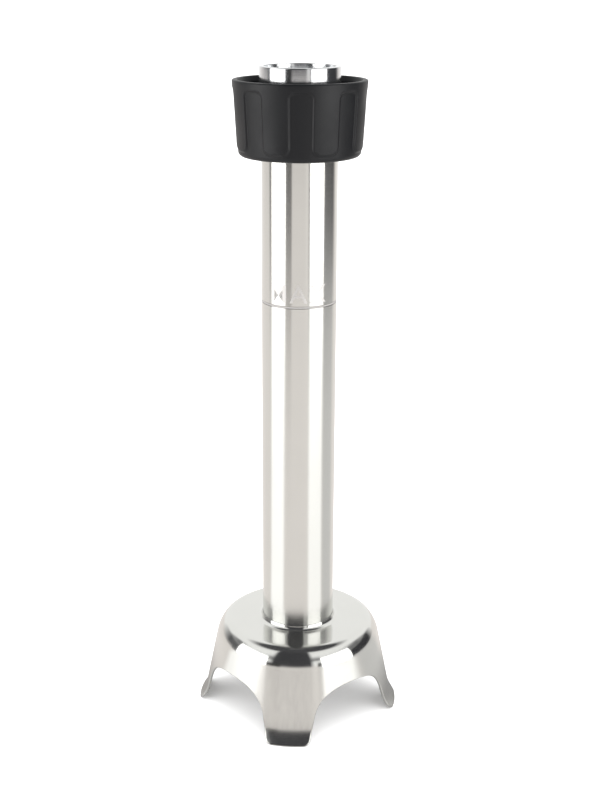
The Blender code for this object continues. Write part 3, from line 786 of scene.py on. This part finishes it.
# ------------------------------------------------------------------ blade
def blade():
    """Two wings off a bored disc, ground to an edge, one turned up and one down."""
    wing = ((5.0, -5.6), (11.0, -5.7), (20.0, -5.2), (27.0, -4.2), (BLADE_R - 0.4, -2.2), (BLADE_R, 0.4),
            (28.2, 3.4), (22.0, 4.9), (14.0, 5.9), (8.6, 6.4), (4.6, 6.1), (0.6, 7.5), (-2.2, 7.2))
    tilt = math.radians(FOOT_FIRST)
    ctrl = [(x, y, 1.0) for x, y in wing] + [(-x, -y, -1.0) for x, y in wing]
    pts = []
    m = len(ctrl)
    for i in range(m):                       # centripetal-like smoothing of the outline
        p0, p1, p2, p3 = (Vector(ctrl[(i + k) % m][:2]) for k in (-1, 0, 1, 2))
        for k in range(6):
            t = k / 6
            lin = p1.lerp(p2, t)
            cat = 0.5 * (2 * p1 + (p2 - p0) * t + (2 * p0 - 5 * p1 + 4 * p2 - p3) * t * t + (3 * p1 - p0 - 3 * p2 + p3) * t ** 3)
            q = lin.lerp(cat, 0.85)
            if q.length > BLADE_R - 0.02:
                q = q.normalized() * (BLADE_R - 0.02)
            pts.append(q)

    def lift(x, y):
        side = 1.0 if x > 0 else -1.0
        out = max(0.0, (math.hypot(x, y) - 8.5) / (BLADE_R - 8.5))
        return side * 3.0 * out ** 1.5 + 0.12 * y * side * out

    def level(f, half):
        row = []
        for q in pts:
            r1 = q.length
            r = lerp(SHAFT_R + 0.1, r1, f)
            px, py = q.x * r / r1, q.y * r / r1
            z = BLADE_Z + lift(px, py) + half
            a = math.atan2(py, px) + tilt
            row.append(Vector((r * math.cos(a), r * math.sin(a), z)) * MM)
        return row

    spec = ((0.0, 0.6), (0.02, 0.75), (0.2, 0.75), (0.4, 0.75), (0.6, 0.75), (0.76, 0.75), (0.80, 0.70), (0.9, 0.42), (0.985, 0.16),
            (1.0, 0.10))
    rows = [level(f, h) for f, h in spec] + [level(f, -h) for f, h in reversed(spec)]
    return grid("blade_ground", rows, M["blade"], "shaft", ("blade",), True, 18.0)


blade()

# ------------------------------------------------------------------ carried-over CAD nodes
KEEP = {
    "collar_snap_ring": "spring", "bearing_snap_ring": "spring", "shaft_circlip_upper": "spring",
    "shaft_circlip_lower": "spring", "seal_garter_spring": "spring", "bearing_outer_race": "bearing",
    "bearing_inner_race": "bearing", "bearing_shield_upper": "bearing", "bearing_shield_lower": "bearing",
    "ball_cage": "brass", "collar_thrust_washer": "acetal", "mid_support_bush": "acetal",
    "mid_bush_o_ring_upper": "rubber", "mid_bush_o_ring_lower": "rubber", "hub_o_ring": "rubber", "lip_seal": "rubber",
    "lower_bush": "bronze", "drive_shaft": "shaft",
}
for k in range(1, 8):
    KEEP["bearing_ball_%d" % k] = "bearing"
for node, mat in KEEP.items():
    ob = NODES[node]
    if not ob.material_slots:
        ob.data.materials.append(M[mat])
    for s in ob.material_slots:
        s.material = M[mat]

# ------------------------------------------------------------------ stage: floor, table, soft boxes
def around(az, dist, z):
    """A point on the studio floor plan: az degrees from the camera's side, + towards its right."""
    a = math.radians(az)
    p = (TO_CAM * math.cos(a) + RIGHT * math.sin(a)) * dist
    return Vector((p.x, p.y, z))


def disc(name, radius, z):
    bm = bmesh.new()
    bmesh.ops.create_circle(bm, cap_ends=True, radius=radius, segments=128)
    me = bpy.data.meshes.new(name)
    bm.to_mesh(me)
    bm.free()
    ob = bpy.data.objects.new(name, me)
    bpy.context.scene.collection.objects.link(ob)
    ob.location.z = z
    return ob


def stage():
    floor = disc("floor", 30.0, -0.0003)
    n = Nodes("floor_white")
    c = n.noise(n.coords(), 6.0, 2.0, 0.5)
    n.set(Base_Color=n.mix(c, (0.93, 0.93, 0.93), (0.945, 0.945, 0.945)), Roughness=0.6)
    n.b.inputs["Specular IOR Level"].default_value = 0.15
    floor.data.materials.append(n.mat)
    floor.visible_glossy = False

    # painted reflection of the table as polished metal sees it: a glowing disc of evenly lit paper, with a painted
    # shadow close in under the guard
    table = disc("table_painted_reflection", 1.1, -0.0002)
    n = Nodes("table_painted_reflection")
    t = n.t
    t.nodes.remove(n.b)
    tc = n.new("ShaderNodeTexCoord")
    ln = n.new("ShaderNodeVectorMath", operation="LENGTH")
    n.link(tc.outputs["Object"], ln.inputs[0])
    # painted shadow: the glow falls to 0.30 close in under the guard, where the guard's contact shadow would be
    shade = n.remap(ln.outputs["Value"], 0.045, 0.11, 0.30, 1.0)

    def dot(vec):
        d = n.new("ShaderNodeVectorMath", operation="DOT_PRODUCT")
        n.link(tc.outputs["Object"], d.inputs[0])
        d.inputs[1].default_value = vec
        return d.outputs["Value"]

    az = n.math("MULTIPLY", n.math("ARCTAN2", dot(RIGHT), dot(TO_CAM)), 180 / math.pi)

    def pool(below, az0, az1, value, soft=4.0):
        k = n.math("MULTIPLY", n.remap(az, az0 - soft, az0 + soft, 0, 1), n.remap(az, az1 - soft, az1 + soft, 1, 0))
        return n.mix(k, below, value)

    # painted light: the glow of lit paper, with painted pools of light and a painted flag shade laid on it below
    painted_paper_light = n.mix(0.0, (0.97, 0.925, 0.895), (0.97, 0.925, 0.895))
    painted_paper_light = pool(painted_paper_light, -94, -46, (1.42, 1.41, 1.40))      # pools of light in front of the soft boxes
    painted_paper_light = pool(painted_paper_light, 31, 77, (1.34, 1.33, 1.31))
    painted_paper_light = pool(painted_paper_light, 80, 124, (0.76, 0.75, 0.74), 6.0)  # shade of the right-hand flag
    em = n.new("ShaderNodeEmission")
    n.link(n.mix(shade, (0.0, 0.0, 0.0), painted_paper_light), em.inputs["Color"])
    n.link(em.outputs[0], t.nodes["Material Output"].inputs["Surface"])
    table.data.materials.append(n.mat)
    table.visible_camera = table.visible_diffuse = table.visible_shadow = table.visible_transmission = False

    def area(name, pos, aim, size, size_y, radiance, glossy):
        li = bpy.data.lights.new(name, "AREA")
        li.shape = "RECTANGLE"
        li.size, li.size_y = size, size_y
        li.energy = radiance * math.pi * size * size_y
        ob = bpy.data.objects.new(name, li)
        bpy.context.scene.collection.objects.link(ob)
        ob.location = pos
        ob.rotation_euler = (aim - pos).to_track_quat("-Z", "Y").to_euler()
        ob.visible_glossy = glossy
        ob.visible_camera = False
        return ob

    tall = 0.58
    area("soft_box_left", around(-66, 1.0, tall / 2), Vector((0, 0, tall / 2)), 0.90, tall, 2.5, True)
    area("soft_box_right", around(55, 1.0, tall / 2), Vector((0, 0, tall / 2)), 0.85, tall, 2.4, True)
    area("overhead", around(15, 0.5, 1.5), Vector((0, 0, 0.1)), 1.2, 1.2, 1.2, False)


stage()


def world():
    """White room for soft light; polished metal also sees the dark gaps between soft boxes, table and ceiling."""
    w = bpy.data.worlds.new("studio")
    bpy.context.scene.world = w
    w.use_nodes = True
    t = w.node_tree
    for x in list(t.nodes):
        t.nodes.remove(x)
    n = Nodes.__new__(Nodes)
    n.t = t
    out = n.new("ShaderNodeOutputWorld")
    tc = n.new("ShaderNodeTexCoord")

    def dot(vec):
        d = n.new("ShaderNodeVectorMath", operation="DOT_PRODUCT")
        n.link(tc.outputs["Generated"], d.inputs[0])
        d.inputs[1].default_value = vec
        return d.outputs["Value"]

    x, y, z = dot(RIGHT), dot(TO_CAM), dot(Vector((0, 0, 1)))
    az = n.math("MULTIPLY", n.math("ARCTAN2", x, y), 180 / math.pi)          # 0 towards the camera, + to its right
    el = n.math("MULTIPLY", n.math("ARCSINE", z), 180 / math.pi)

    def window(v, lo, hi, soft_lo, soft_hi):
        return n.math("MULTIPLY", n.remap(v, lo - soft_lo, lo + soft_lo, 0, 1), n.remap(v, hi - soft_hi, hi + soft_hi, 1, 0))

    def panel(below, az0, az1, el0, el1, value, s_az=(1.5, 1.5), s_el=(2.0, 2.0)):
        k = n.math("MULTIPLY", window(az, az0, az1, *s_az), window(el, el0, el1, *s_el))
        return n.mix(k, below, value)

    room = (1.10, 1.10, 1.09)
    c = n.mix(0.0, room, room)
    c = panel(c, -150, 150, -40, 3, (0.97, 0.925, 0.895), (12, 12), (1, 2))       # table and low wall in front
    c = panel(c, -112, 112, 19.5, 31, (0.26, 0.26, 0.265), (12, 12), (1.5, 4))    # gap over the soft boxes
    c = panel(c, -128, -84, -1, 21, (0.13, 0.13, 0.135), (14, 2), (6, 5))         # dark corner, left
    c = panel(c, 78, 128, -16, 21, (0.04, 0.04, 0.045), (2, 8), (7, 5))            # dark corner, right
    c = panel(c, -36, 20, 0.5, 75, (0.05, 0.05, 0.055), (3, 3), (4, 6))            # dark room behind the camera
    c = panel(c, -46, -23, -15, 10, (0.02, 0.02, 0.02), (1, 1.5), (5, 3))           # flag beside the left box
    c = panel(c, 27, 34, -13, 12, (0.13, 0.13, 0.13), (1.5, 1), (4, 3))             # flag beside the right box
    c = panel(c, -102, -93, -13, 5, (0.18, 0.18, 0.18), (1, 1), (4, 3))           # far edge of the left box
    c = panel(c, -400, 400, 56, 120, (0.07, 0.07, 0.075), (1, 1), (6, 3))         # dark ceiling
    lp = n.new("ShaderNodeLightPath")
    soft = n.mix(lp.outputs["Is Camera Ray"], (2.0, 2.0, 2.0), (1.0, 1.0, 1.0))
    seen = n.mix(lp.outputs["Is Glossy Ray"], soft, c)
    bg = n.new("ShaderNodeBackground")
    n.link(seen, bg.inputs["Color"])
    bg.inputs["Strength"].default_value = 1.0
    n.link(bg.outputs[0], out.inputs["Surface"])


world()

# ------------------------------------------------------------------ camera
def camera():
    f_px, pitch, dist, aim, roll, x0 = 1339.524, 0.312808, 698.234, 173.605, 0.004076, -1.283
    cam = bpy.data.cameras.new("camera")
    ob = bpy.data.objects.new("camera", cam)
    bpy.context.scene.collection.objects.link(ob)
    cam.sensor_fit = "AUTO"
    cam.sensor_width = 36.0
    cam.lens = f_px * 36.0 / 798.0
    cam.shift_x = -x0 / 798.0
    cam.clip_start, cam.clip_end = 0.01, 200.0
    cam.dof.use_dof = False
    fwd = -TO_CAM * math.cos(pitch) + Vector((0, 0, -math.sin(pitch)))
    up0 = -TO_CAM * math.sin(pitch) + Vector((0, 0, math.cos(pitch)))
    right = RIGHT * math.cos(roll) + up0 * math.sin(roll)
    up = up0 * math.cos(roll) - RIGHT * math.sin(roll)
    m = Matrix((right, up, -fwd)).transposed().to_4x4()
    m.translation = (TO_CAM * math.cos(pitch) * dist + Vector((0, 0, aim + math.sin(pitch) * dist))) * MM
    ob.matrix_world = m
    bpy.context.scene.camera = ob


camera()
bpy.context.scene.view_settings.view_transform = "Standard"
bpy.context.scene.view_settings.look = "None"
